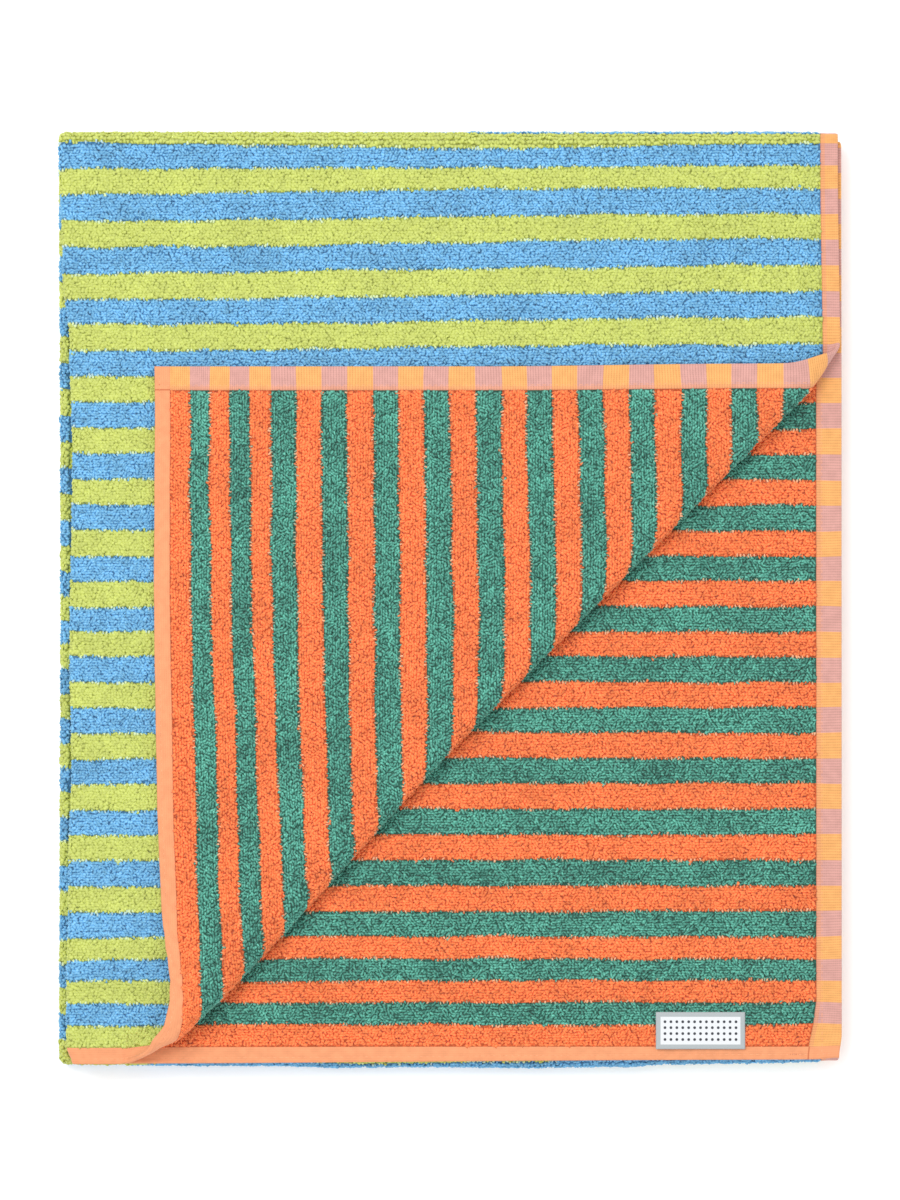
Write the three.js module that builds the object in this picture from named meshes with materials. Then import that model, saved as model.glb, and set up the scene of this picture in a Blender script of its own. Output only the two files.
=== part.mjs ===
import * as THREE from 'three';

// A bath towel of two-sided striped terry. It is folded in half with the fold on the left, then in three
// with a fold at the top edge and one at the bottom edge, which gives six layers. The lower right corner
// of the top layer is turned back over it and uncovers the second layer, where a small label is sewn.
// Millimetres, +Z up. +X runs along the stripes and +Y towards the top fold.

// Folded size
const foldedWidth = 398.2;
const foldedLength = 474.6;
const layerCount = 6;
const layerPitch = 4.3;

// Cloth
const pileThickness = 3.2;
const hemThickness = 2.2;
const sideHemWidth = 13;
const endHemWidth = 8.4;
const hemShoulder = 1.6;
const topEndSetback = 1.5;
const lastEndSetback = 12.3;

// Heights from the middle of the top layer, and the two kinds of fold
const halfPile = pileThickness / 2;
const topLayerHeight = halfPile + (layerCount - 1) * layerPitch;
const sideFoldRadius = layerPitch / 2;
const sideFoldLength = Math.PI * sideFoldRadius;
const sideFoldX = -foldedWidth / 2 + sideFoldRadius + halfPile;
const endFoldLength = Math.PI * layerPitch;
const endFoldY = foldedLength / 2 - 1.5 * layerPitch - halfPile;
const topFoldDrop = -1.5 * layerPitch;
const bottomFoldDrop = -3.5 * layerPitch;

// The flat towel. "Across" runs along the stripes from the left fold, positive on the top layer's side,
// and "along" runs from the hemmed end that lies on top.
const acrossEdge = sideFoldLength / 2 + foldedWidth / 2 - sideFoldX;
const topEndY = -foldedLength / 2 + topEndSetback;
const topSectionLength = endFoldY - topEndY;
const middleSectionLength = 2 * endFoldY;
const lastSectionLength = endFoldY + foldedLength / 2 - lastEndSetback;
const topFoldStart = topSectionLength;
const topFoldEnd = topFoldStart + endFoldLength;
const bottomFoldStart = topFoldEnd + middleSectionLength;
const bottomFoldEnd = bottomFoldStart + endFoldLength;
const alongEdge = bottomFoldEnd + lastSectionLength;

// How far the hemmed end of each upper layer has crept up at its right-hand corner
const topLayerCreep = 5.1;
const secondLayerCreep = 2.1;

// How far the left fold of the top section stands in from the folds below it, from the end upwards
const leftFoldInset = [
  { along: 0, inset: 4.1 },
  { along: 105, inset: 5.6 },
  { along: 150, inset: 7.1 },
  { along: 210, inset: 6.1 },
  { along: 310, inset: 7.6 },
  { along: 364, inset: 6.1 },
  { along: 404, inset: 2.5 },
  { along: topFoldStart, inset: 0.6 },
  { along: topFoldEnd, inset: 0.2 },
  { along: 700, inset: 0.9 },
  { along: bottomFoldStart, inset: 0.3 },
  { along: 1180, inset: 1.1 },
  { along: alongEdge, inset: 0.4 },
];
const insetSpread = 120;

// How far each section's right-hand edges stand in, on the top layer's side and on the second layer's side
const rightEdgeInset = [
  { along: 0, topSide: 0.6, secondSide: 0 },
  { along: 330, topSide: 0.6, secondSide: 0 },
  { along: topFoldStart, topSide: 2.2, secondSide: 0.2 },
  { along: topFoldEnd, topSide: 1.4, secondSide: 0.9 },
  { along: 700, topSide: 0.5, secondSide: 1.6 },
  { along: bottomFoldStart, topSide: 1.9, secondSide: 0.9 },
  { along: bottomFoldEnd, topSide: 2.4, secondSide: 1.2 },
  { along: alongEdge, topSide: 1.1, secondSide: 2.1 },
];

// The turned-back corner. Its crease runs at 45 degrees, and "reach" is measured square to it towards the
// lower right, "run" along it towards the upper right, both from the middle of the folded towel.
const turnStart = 49.5;
const turnReach = 4.0;
const turnRise = 4.0;
const turnSettleLength = 42;

// Towards its lower left end the roll opens out, and at the hem itself it is drawn in again
const openRoll = { reach: 6.4, reachFrom: -30, reachTo: -225, rise: 2.6, riseFrom: -175, riseTo: -235 };
const hemDrawIn = { reach: 5.2, from: -222, to: -290 };

// Soft unevenness of the stack: long waves, lower over the thin side hems and fuller at the folds
const waves = [
  { height: 0.42, lengthX: 380, lengthY: 520, phase: 0.7 },
  { height: 0.3, lengthX: 290, lengthY: -610, phase: 2.1 },
  { height: 0.2, lengthX: -900, lengthY: 190, phase: 4 },
];
const edgeDroop = { share: 0.13, from: 172, to: 197 };
const foldFullness = { share: 0.04, fade: 22 };

// The label, on the second layer beside the hem
const label = { width: 43.6, height: 18.8, thickness: 0.7, gap: 0.3, centreX: 126.7, centreY: -217.3 };
const labelSteps = 6;

const ease = (value) => THREE.MathUtils.smoothstep(value, 0, 1);
const easeBetween = (from, to, value) => ease((value - from) / (to - from));

// Reads one column of a table whose rows are ordered along the cloth, easing between neighbouring rows.
function readTable(table, column, along) {
  const next = table.findIndex((row) => row.along > along);
  if (next < 0) return table[table.length - 1][column];
  if (next === 0) return table[0][column];
  const before = table[next - 1];
  const after = table[next];
  const share = ease((along - before.along) / (after.along - before.along));
  return THREE.MathUtils.lerp(before[column], after[column], share);
}

// Half the cloth's thickness, thinner in the hems than in the pile.
function halfThickness(across, along) {
  const fromSide = acrossEdge - Math.abs(across);
  const fromEnd = Math.min(along, alongEdge - along);
  const sidePile = ease((fromSide - sideHemWidth) / hemShoulder);
  const endPile = ease((fromEnd - endHemWidth) / hemShoulder);
  return THREE.MathUtils.lerp(hemThickness, pileThickness, Math.min(sidePile, endPile)) / 2;
}

// Place on the strip after the first fold: x, and the height of that point of the cloth.
function foldInHalf(across, lift) {
  const pastFold = Math.abs(across) - sideFoldLength / 2;
  if (pastFold < 0) {
    const turn = (sideFoldLength / 2 - across) / sideFoldRadius;
    const radius = sideFoldRadius + lift;
    return { x: sideFoldX - radius * Math.sin(turn), z: radius * Math.cos(turn) - sideFoldRadius };
  }
  const z = across > 0 ? lift : -layerPitch - lift;
  return { x: sideFoldX + pastFold, z };
}

// Folds the strip of two layers in three, with half-round folds about endFoldY and -endFoldY.
function foldInThree(across, along, z) {
  const creep = across > 0 ? topLayerCreep : secondLayerCreep;
  const upperEndY = topEndY + creep * ease(Math.abs(across) / acrossEdge);
  if (along <= topFoldStart) {
    return { y: THREE.MathUtils.lerp(upperEndY, endFoldY, along / topSectionLength), z };
  }
  const topArm = z - topFoldDrop;
  if (along <= topFoldEnd) {
    const turn = (along - topFoldStart) / layerPitch;
    return { y: endFoldY + topArm * Math.sin(turn), z: topFoldDrop + topArm * Math.cos(turn) };
  }
  const middleZ = topFoldDrop - topArm;
  if (along <= bottomFoldStart) {
    return { y: endFoldY - (along - topFoldEnd), z: middleZ };
  }
  const bottomArm = middleZ - bottomFoldDrop;
  if (along <= bottomFoldEnd) {
    const turn = (along - bottomFoldStart) / layerPitch;
    return { y: -endFoldY - bottomArm * Math.sin(turn), z: bottomFoldDrop + bottomArm * Math.cos(turn) };
  }
  return { y: -endFoldY + (along - bottomFoldEnd), z: bottomFoldDrop - bottomArm };
}

// The roll of the turned-back corner at a place along its crease: where it starts, how far it reaches out,
// half of how high it rises, and the mean radius of that half oval.
function rollAt(run) {
  const opening = easeBetween(openRoll.reachFrom, openRoll.reachTo, run);
  const lifting = easeBetween(openRoll.riseFrom, openRoll.riseTo, run);
  const drawnIn = hemDrawIn.reach * easeBetween(hemDrawIn.from, hemDrawIn.to, run);
  const reach = turnReach + openRoll.reach * opening - drawnIn;
  const rise = turnRise + openRoll.rise * lifting;
  return { start: turnStart - drawnIn, reach, rise, radius: Math.hypot(reach, rise) / Math.SQRT2 };
}

function creaseAxes(x, y) {
  return { reach: (x - y) / Math.SQRT2, run: (x + y) / Math.SQRT2 };
}

// Turns the lower right corner of the top layer up and back in a half oval, then settles it on the layer.
function turnCornerBack(x, y, lift) {
  const { reach, run } = creaseAxes(x, y);
  const roll = rollAt(run);
  const past = reach - roll.start;
  if (past <= 0) return { x, y, z: lift };
  const rollLength = Math.PI * roll.radius;
  const centre = { reach: 0, z: 0 };
  const heading = { reach: 0, z: 0 };
  if (past < rollLength) {
    const turn = past / roll.radius;
    centre.reach = roll.start + roll.reach * Math.sin(turn);
    centre.z = roll.rise * (1 - Math.cos(turn));
    heading.reach = roll.reach * Math.cos(turn);
    heading.z = roll.rise * Math.sin(turn);
  } else {
    const drop = 2 * roll.rise - layerPitch;
    const share = Math.min((past - rollLength) / turnSettleLength, 1);
    centre.reach = roll.start - (past - rollLength);
    centre.z = layerPitch + drop * (1 - ease(share));
    heading.reach = -1;
    heading.z = -drop * 6 * share * (1 - share) / turnSettleLength;
  }
  const length = Math.hypot(heading.reach, heading.z);
  const outReach = centre.reach - lift * heading.z / length;
  const z = centre.z + lift * heading.reach / length;
  return { x: (outReach + run) / Math.SQRT2, y: (run - outReach) / Math.SQRT2, z };
}

// Sideways shift that sets each section's left fold and right-hand edges in by their table values.
function sidewaysShift(across, along, x) {
  const fromLeft = (x + foldedWidth / 2) / insetSpread;
  const leftShare = fromLeft < 1 ? (1 - fromLeft) ** 2 : 0;
  const rightShare = ease((x - sideFoldX) / (foldedWidth / 2 - sideFoldX));
  const side = across > 0 ? 'topSide' : 'secondSide';
  const nearFold = Math.min(Math.abs(across) / sideFoldLength, 1);
  const rightInset = readTable(rightEdgeInset, side, along) * nearFold;
  return readTable(leftFoldInset, 'inset', along) * leftShare - rightInset * rightShare;
}

// Height of a point once the stack's soft unevenness is in: fuller at the folds, lower over the thin side
// hems, and gently waved. The lowest cloth stays level.
function settleHeight(x, y, z) {
  const wave = waves.reduce((sum, { height, lengthX, lengthY, phase }) => (
    sum + height * Math.sin(2 * Math.PI * (x / lengthX + y / lengthY) + phase)
  ), 0);
  const droop = edgeDroop.share * easeBetween(edgeDroop.from, edgeDroop.to, x);
  const fromFold = Math.min(x + foldedWidth / 2, foldedLength / 2 - Math.abs(y));
  const fullness = foldFullness.share * Math.exp(-Math.max(fromFold, 0) / foldFullness.fade);
  const offFloor = ease(z / (2 * pileThickness));
  const loft = easeBetween(pileThickness, topLayerHeight, z);
  return z * (1 + (fullness - droop) * offFloor) + wave * loft;
}

// The folded place of a point of the flat towel, lifted from the cloth's middle towards its lime and blue face.
function foldedPoint(across, along, lift) {
  const strip = foldInHalf(across, lift);
  const { y, z } = foldInThree(across, along, strip.z);
  const onTopLayer = across > sideFoldLength && along < topFoldStart;
  const spot = onTopLayer ? turnCornerBack(strip.x, y, lift) : { x: strip.x, y, z };
  const onTop = THREE.MathUtils.clamp(spot.y - topEndY, 0, topSectionLength);
  const x = spot.x + sidewaysShift(across, along < topFoldStart ? onTop : along, spot.x);
  return new THREE.Vector3(x, spot.y, settleHeight(x, spot.y, spot.z + topLayerHeight));
}

// Evenly spaced values from one to another, both included.
function spread(from, to, steps) {
  return Array.from({ length: steps + 1 }, (_, step) => THREE.MathUtils.lerp(from, to, step / steps));
}

// The places across and along the flat towel where the mesh has a line: hems, folds and the plain stretches.
function linesAcross() {
  const hemEdge = acrossEdge - sideHemWidth;
  const pileEdge = hemEdge - hemShoulder;
  const pile = spread(sideFoldLength / 2, pileEdge, 10);
  const right = [...pile, hemEdge - hemShoulder / 2, hemEdge, acrossEdge];
  const left = right.map((value) => -value).reverse();
  const fold = spread(-sideFoldLength / 2, sideFoldLength / 2, 6).slice(1, -1);
  return [...left, ...fold, ...right];
}

function linesAlong() {
  const pileEdge = endHemWidth + hemShoulder;
  const hem = [0, endHemWidth, endHemWidth + hemShoulder / 2];
  return [
    ...hem,
    ...spread(pileEdge, topFoldStart, 11),
    ...spread(topFoldStart, topFoldEnd, 8).slice(1),
    ...spread(topFoldEnd, bottomFoldStart, 9).slice(1),
    ...spread(bottomFoldStart, bottomFoldEnd, 8).slice(1),
    ...spread(bottomFoldEnd, alongEdge - pileEdge, 9).slice(1),
    ...hem.map((value) => alongEdge - value).reverse(),
  ];
}

// Millimetres past a line of the turned-back corner: a share of the way round its roll, or past the roll.
function pastCornerLine(corner, share, beyond) {
  if (corner.across < sideFoldLength || corner.along > topFoldStart) return -1000;
  const place = foldInThree(corner.across, corner.along, 0);
  const { reach, run } = creaseAxes(foldInHalf(corner.across, 0).x, place.y);
  const roll = rollAt(run);
  return reach - roll.start - share * Math.PI * roll.radius - beyond;
}

const snapDistance = 0.2;

// Cuts every cell in two where the measure changes sign, so that the mesh has a line there.
function cutCells(cells, measure) {
  const pieces = [];
  for (const cell of cells) {
    const values = cell.map((corner) => {
      const value = measure(corner);
      return Math.abs(value) < snapDistance ? 0 : value;
    });
    if (values.every((value) => value >= 0) || values.every((value) => value <= 0)) {
      pieces.push(cell);
      continue;
    }
    const near = [];
    const far = [];
    cell.forEach((corner, index) => {
      const value = values[index];
      if (value <= 0) near.push(corner);
      if (value >= 0) far.push(corner);
      const following = cell[(index + 1) % cell.length];
      const nextValue = values[(index + 1) % cell.length];
      if (value * nextValue < 0) {
        const share = value / (value - nextValue);
        const crossing = {
          across: THREE.MathUtils.lerp(corner.across, following.across, share),
          along: THREE.MathUtils.lerp(corner.along, following.along, share),
        };
        near.push(crossing);
        far.push(crossing);
      }
    });
    pieces.push(near, far);
  }
  return pieces;
}

function flatCells() {
  const across = linesAcross();
  const along = linesAlong();
  let cells = [];
  for (let column = 1; column < across.length; column++) {
    for (let row = 1; row < along.length; row++) {
      cells.push([
        { across: across[column - 1], along: along[row - 1] },
        { across: across[column], along: along[row - 1] },
        { across: across[column], along: along[row] },
        { across: across[column - 1], along: along[row] },
      ]);
    }
  }
  for (const share of spread(0, 1, 7)) {
    cells = cutCells(cells, (corner) => pastCornerLine(corner, share, 0));
  }
  for (const beyond of spread(0, turnSettleLength, 4).slice(1)) {
    cells = cutCells(cells, (corner) => pastCornerLine(corner, 1, beyond));
  }
  return cells;
}

// A closed skin from cells of a flat sheet: an upper and a lower face, and a rim along the open edges.
function closedSheet(cells, place) {
  const numbers = new Map();
  const corners = [];
  const numberOf = (corner) => {
    const key = `${corner.across.toFixed(3)},${corner.along.toFixed(3)}`;
    if (!numbers.has(key)) {
      numbers.set(key, corners.length);
      corners.push(corner);
    }
    return numbers.get(key);
  };
  const outlines = cells.map((cell) => cell.map(numberOf));
  const edges = new Map();
  const triangles = [];
  for (const outline of outlines) {
    outline.forEach((from, index) => {
      const to = outline[(index + 1) % outline.length];
      edges.set(`${from},${to}`, [from, to]);
    });
    for (let index = 2; index < outline.length; index++) {
      triangles.push([outline[0], outline[index - 1], outline[index]]);
    }
  }
  const positions = [];
  for (const side of [1, -1]) {
    for (const corner of corners) {
      positions.push(...place(corner, side).toArray());
    }
  }
  const lower = corners.length;
  const faces = [];
  for (const [a, b, c] of triangles) {
    faces.push(a, b, c, lower + a, lower + c, lower + b);
  }
  for (const [from, to] of edges.values()) {
    if (edges.has(`${to},${from}`)) continue;
    faces.push(from, lower + from, lower + to, from, lower + to, to);
  }
  const geometry = new THREE.BufferGeometry();
  geometry.setAttribute('position', new THREE.Float32BufferAttribute(positions, 3));
  geometry.setIndex(faces);
  geometry.computeVertexNormals();
  return geometry;
}

function makeTowel() {
  const place = ({ across, along }, side) => foldedPoint(across, along, side * halfThickness(across, along));
  const geometry = closedSheet(flatCells(), place);
  const material = new THREE.MeshStandardMaterial({ color: 0xc9d96a, roughness: 0.95, metalness: 0 });
  const mesh = new THREE.Mesh(geometry, material);
  mesh.name = 'towel';
  return mesh;
}

// The label lies on the pile of the second layer and follows its gentle waves.
function makeLabel() {
  const { width, height, thickness, gap, centreX, centreY } = label;
  const pileTop = topLayerHeight - layerPitch + halfPile;
  const columns = spread(-width / 2, width / 2, labelSteps);
  const cells = columns.slice(1).map((right, index) => [
    { across: columns[index], along: -height / 2 },
    { across: right, along: -height / 2 },
    { across: right, along: height / 2 },
    { across: columns[index], along: height / 2 },
  ]);
  const place = ({ across, along }, side) => {
    const x = centreX + across;
    const y = centreY + along;
    const surface = settleHeight(x, y, pileTop);
    return new THREE.Vector3(x, y, surface + gap + (side > 0 ? thickness : 0));
  };
  const material = new THREE.MeshStandardMaterial({ color: 0xd4d6d6, roughness: 0.7, metalness: 0 });
  const mesh = new THREE.Mesh(closedSheet(cells, place), material);
  mesh.name = 'label';
  return mesh;
}

const towel = makeTowel();
const group = new THREE.Group();
group.add(towel, makeLabel());

// The origin is under the middle of the folded towel.
towel.geometry.computeBoundingBox();
const middle = towel.geometry.boundingBox.getCenter(new THREE.Vector3());
group.position.set(-middle.x, -middle.y, 0);

export default group;
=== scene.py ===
import bmesh
import bpy
import numpy as np
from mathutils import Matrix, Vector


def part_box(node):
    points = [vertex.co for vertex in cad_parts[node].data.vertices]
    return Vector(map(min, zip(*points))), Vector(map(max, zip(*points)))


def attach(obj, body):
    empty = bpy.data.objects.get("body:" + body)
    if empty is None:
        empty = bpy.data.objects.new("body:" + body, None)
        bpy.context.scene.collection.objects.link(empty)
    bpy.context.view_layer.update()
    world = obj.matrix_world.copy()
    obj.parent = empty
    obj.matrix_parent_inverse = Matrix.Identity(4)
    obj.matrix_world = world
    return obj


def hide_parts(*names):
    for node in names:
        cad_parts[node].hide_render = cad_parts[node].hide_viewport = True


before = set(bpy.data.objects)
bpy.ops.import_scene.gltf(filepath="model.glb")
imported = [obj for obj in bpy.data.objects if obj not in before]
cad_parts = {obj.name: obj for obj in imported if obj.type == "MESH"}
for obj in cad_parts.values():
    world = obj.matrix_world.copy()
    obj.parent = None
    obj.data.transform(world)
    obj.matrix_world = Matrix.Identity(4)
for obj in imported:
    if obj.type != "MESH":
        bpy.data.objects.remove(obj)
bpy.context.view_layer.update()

# The towel's cloth
# One length of two-sided cotton terry, lime and blue on one face, orange and green on the other, woven and
# sewn in one with its four hems. It is folded in half at its left edge and then in three, and the lower
# right corner of its top layer is turned back towards the upper left. Here it is the bare ground cloth and
# the hems.

# Lengths are in millimetres until make_piece, and x and y are measured from the middle of the folded towel.
MM = 0.001
folded_width = 398.2
folded_length = 474.6
layer_pitch = 4.3
pile_thickness = 3.2
half_pile = pile_thickness / 2
top_layer_height = half_pile + 5 * layer_pitch


def ease(value):
    """3 s squared less 2 s cubed, where s is the value held between 0 and 1, so it starts and ends level."""
    share = np.clip(value, 0.0, 1.0)
    return share * share * (3.0 - 2.0 * share)


def ease_between(start, end, value):
    """Goes from 0 where the value is start to 1 where it is end, with level ends."""
    return ease((value - start) / (end - start))


def read_rows(rows, column, along):
    """The column's value at a distance along the cloth, eased from each row to the next one."""
    marks = np.array([row[0] for row in rows], dtype=float)
    values = np.array([row[column] for row in rows], dtype=float)
    below = np.clip(np.searchsorted(marks, along, side="right") - 1, 0, len(marks) - 2)
    share = ease((along - marks[below]) / (marks[below + 1] - marks[below]))
    return values[below] + (values[below + 1] - values[below]) * share


# The fold at the left edge: the cloth's middle line, where across is 0, is the fold's outermost line.
side_fold_radius = layer_pitch / 2
side_fold_length = np.pi * side_fold_radius
side_fold_x = -folded_width / 2 + side_fold_radius + half_pile
across_edge = side_fold_length / 2 + folded_width / 2 - side_fold_x


def fold_in_half(across, lift):
    """Across the strip: flat on top where across is positive, a half circle round the left fold, and flat and
    turned over underneath where it is negative. lift is the distance out of the lime and blue face."""
    half = side_fold_length / 2
    turn = (half - np.clip(across, -half, half)) / side_fold_radius
    radius = side_fold_radius + lift
    past = np.abs(across) - half
    rolled = past < 0
    x = np.where(rolled, side_fold_x - radius * np.sin(turn), side_fold_x + past)
    z = np.where(rolled, radius * np.cos(turn) - side_fold_radius,
                 np.where(across > 0, lift, -layer_pitch - lift))
    return x, z


# The two folds at the ends, from the hemmed end of the top layer down to the far end underneath.
top_end_setback = 1.5
last_end_setback = 12.3
end_fold_length = np.pi * layer_pitch
end_fold_y = folded_length / 2 - 1.5 * layer_pitch - half_pile
top_fold_drop = -1.5 * layer_pitch
bottom_fold_drop = -3.5 * layer_pitch
top_end_y = -folded_length / 2 + top_end_setback
middle_section_length = 2 * end_fold_y
last_section_length = end_fold_y + folded_length / 2 - last_end_setback
top_fold_start = end_fold_y - top_end_y
top_fold_end = top_fold_start + end_fold_length
bottom_fold_start = top_fold_end + middle_section_length
bottom_fold_end = bottom_fold_start + end_fold_length
along_edge = bottom_fold_end + last_section_length
top_layer_creep = 5.1
second_layer_creep = 2.1


def upper_end(across):
    """The height on the page of the hemmed end, which creeps up towards the right, more on the top layer."""
    creep = np.where(across > 0, top_layer_creep, second_layer_creep)
    return top_end_y + creep * ease(np.abs(across) / across_edge)


def fold_in_three(across, along, z):
    """Along the folded strip: the top section, a half circle down over the top edge, the middle section, a
    half circle over the bottom edge, and the last section. z is the height inside the strip."""
    top_y = upper_end(across) + (end_fold_y - upper_end(across)) * along / top_fold_start
    top_arm = z - top_fold_drop
    top_turn = (along - top_fold_start) / layer_pitch
    middle_z = top_fold_drop - top_arm
    bottom_arm = middle_z - bottom_fold_drop
    bottom_turn = (along - bottom_fold_start) / layer_pitch
    reached = [along <= top_fold_start, along <= top_fold_end, along <= bottom_fold_start,
               along <= bottom_fold_end]
    y = np.select(reached, [
        top_y,
        end_fold_y + top_arm * np.sin(top_turn),
        end_fold_y - (along - top_fold_end),
        -end_fold_y - bottom_arm * np.sin(bottom_turn),
    ], -end_fold_y + (along - bottom_fold_end))
    z = np.select(reached, [
        z,
        top_fold_drop + top_arm * np.cos(top_turn),
        middle_z,
        bottom_fold_drop + bottom_arm * np.cos(bottom_turn),
    ], bottom_fold_drop - bottom_arm)
    return y, z


# The turned back corner: a half-oval roll along the crease, open at its lower left end. Reach is measured
# square to the crease and run along it, both from the middle of the towel.
turn_start = 49.5
turn_reach = 4.0
turn_rise = 4.0
turn_settle_length = 42
open_reach, open_reach_from, open_reach_to = 6.4, -30, -225
open_rise, open_rise_from, open_rise_to = 2.6, -175, -235
hem_draw_in, hem_draw_in_from, hem_draw_in_to = 5.2, -222, -290
side_draw_in, side_draw_in_from, side_draw_in_to = 4.0, 205, 232


def roll_at(run):
    """The roll's start, reach and rise at a place along the crease: it opens towards the lower left end,
    and the hems draw it in at both ends."""
    drawn_in = hem_draw_in * ease_between(hem_draw_in_from, hem_draw_in_to, run)
    start = turn_start - drawn_in - side_draw_in * ease_between(side_draw_in_from, side_draw_in_to, run)
    reach = turn_reach + open_reach * ease_between(open_reach_from, open_reach_to, run) - drawn_in
    rise = turn_rise + open_rise * ease_between(open_rise_from, open_rise_to, run)
    return start, reach, rise


def crease_axes(x, y):
    """Distance out past the crease, towards the lower right, and distance along it."""
    return (x - y) / np.sqrt(2), (x + y) / np.sqrt(2)


# How far the end hem swings to the right where it curls round the open roll, at places along the crease,
# and how far the side hem drops down the page: everywhere, and beside the lower part of the turned corner.
hem_swing = (
    (-300, 0), (-284, -3), (-270, 4.5), (-261, 9.2), (-252, 8.8), (-243, 6.4), (-235, 3.4), (-226, 0.2),
    (-216, -1.9), (-194, -2.4), (-176, -3.1), (-158, -3.2), (-135, -2.6), (-106, -2), (-70, -1), (-34, 0),
)
hem_swing_reach = 20
hem_swing_start = 14
side_hem_drop, lower_hem_drop = 1.0, 1.4


def turn_corner_back(x, y, lift):
    """The top layer lies flat up to the crease, rolls up and over along half an oval, and settles back on
    itself along an eased slope. lift moves a point square to that path. Near their edges, its hems swing
    and drop."""
    reach, run = crease_axes(x, y)
    start, roll_reach, roll_rise = roll_at(run)
    radius = np.hypot(roll_reach, roll_rise) / np.sqrt(2)
    roll_length = np.pi * radius
    past = reach - start
    turn = np.clip(past / radius, 0, np.pi)
    descent = 2 * roll_rise - layer_pitch
    beyond = np.maximum(past - roll_length, 0)
    share = np.minimum(beyond / turn_settle_length, 1)
    rolling = past < roll_length
    middle_reach = start + np.where(rolling, roll_reach * np.sin(turn), -beyond)
    settled_z = layer_pitch + descent * (1 - ease(share))
    middle_z = np.where(rolling, roll_rise * (1 - np.cos(turn)), settled_z)
    heading_reach = np.where(rolling, roll_reach * np.cos(turn), -1.0)
    slope = -descent * 6 * share * (1 - share) / turn_settle_length
    heading_z = np.where(rolling, roll_rise * np.sin(turn), slope)
    length = np.hypot(heading_reach, heading_z)
    out_reach = middle_reach - lift * heading_z / length
    out_z = middle_z + lift * heading_reach / length
    flat = past <= 0
    begun = ease(past / hem_swing_start)
    swing = read_rows(hem_swing, 1, run) * np.exp(-((y - top_end_y) / hem_swing_reach) ** 2) * begun
    drop = side_hem_drop + lower_hem_drop * ease_between(70, -60, y)
    drop = drop * np.exp(-((folded_width / 2 - x) / hem_swing_reach) ** 2) * begun
    drop = drop * ease_between(225, 200, run)
    return (np.where(flat, x, (out_reach + run) / np.sqrt(2) + swing),
            np.where(flat, y, (run - out_reach) / np.sqrt(2) - drop),
            np.where(flat, lift, out_z))


# How far the left fold and the right edge stand in from the widest place, at distances along the cloth.
left_fold_inset = (
    (0, 7.0), (9, 4.3), (105, 5.6), (150, 7.1), (210, 6.1), (310, 7.6), (364, 6.1), (404, 2.5),
    (top_fold_start, 0.6), (top_fold_end, 0.2), (700, 0.9), (bottom_fold_start, 0.3), (1180, 1.1),
    (along_edge, 0.4),
)
right_edge_inset = (
    (0, 0.6, 0), (330, 0.6, 0), (top_fold_start, 2.2, 0.2), (top_fold_end, 1.4, 0.9), (700, 0.5, 1.6),
    (bottom_fold_start, 1.9, 0.9), (bottom_fold_end, 2.4, 1.2), (along_edge, 1.1, 2.1),
)
inset_spread = 120


def sideways_shift(across, along, x):
    """The left fold stands in by its inset, which dies away towards the middle of the towel as a square,
    and the right edge by its own, eased in from the fold."""
    from_left = (x + folded_width / 2) / inset_spread
    left_share = np.where(from_left < 1, (1 - from_left) ** 2, 0)
    right_share = ease((x - side_fold_x) / (folded_width / 2 - side_fold_x))
    near_fold = np.minimum(np.abs(across) / side_fold_length, 1)
    right = np.where(across > 0, read_rows(right_edge_inset, 1, along), read_rows(right_edge_inset, 2, along))
    return read_rows(left_fold_inset, 1, along) * left_share - right * near_fold * right_share


# Soft creases of the top layers: where each starts and ends, its half width, and its height, below 0 for a
# trough.
creases = (
    ((-132, -20), (-112, -172), 9, -0.55), ((-95, 40), (-30, -52), 12, 0.5), ((8, 96), (58, 34), 10, -0.45),
    ((-60, 108), (-24, 62), 8, 0.35), ((96, 92), (140, 60), 8, -0.4), ((178, -20), (96, -64), 11, -0.5),
    ((150, -118), (40, -150), 13, 0.5), ((10, -196), (-52, -170), 9, -0.4), ((-92, 218), (-66, 150), 8, -0.5),
    ((-192, 178), (-92, 196), 9, 0.5), ((182, -176), (132, -196), 8, 0.35), ((20, 206), (62, 138), 11, -0.45),
    ((118, 214), (176, 168), 9, 0.45), ((-196, 60), (-160, 24), 8, -0.4), ((-190, -92), (-156, -128), 9, 0.4),
)
crease_end = 24


def crease_height(x, y):
    """The sum of the soft creases: each is a bell across its line, which fades over its two ends."""
    total = np.zeros_like(x)
    for start, end, half_width, height in creases:
        length = np.hypot(end[0] - start[0], end[1] - start[1])
        line_x, line_y = (end[0] - start[0]) / length, (end[1] - start[1]) / length
        along_line = (x - start[0]) * line_x + (y - start[1]) * line_y
        from_line = (x - start[0]) * line_y - (y - start[1]) * line_x
        ends = ease(along_line / crease_end) * ease((length - along_line) / crease_end)
        total = total + height * np.exp(-(from_line / half_width) ** 2) * ends
    return total


# Slow waves of the settled cloth: height, length across, length along, phase. And as shares of the height,
# the droop at the hems and the fullness of the folds.
waves = ((0.42, 380, 520, 0.7), (0.3, 290, -610, 2.1), (0.2, -900, 190, 4))
hem_droop, droop_from, droop_to = 0.13, 172, 197
fold_fullness, fullness_fade = 0.04, 22


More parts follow.
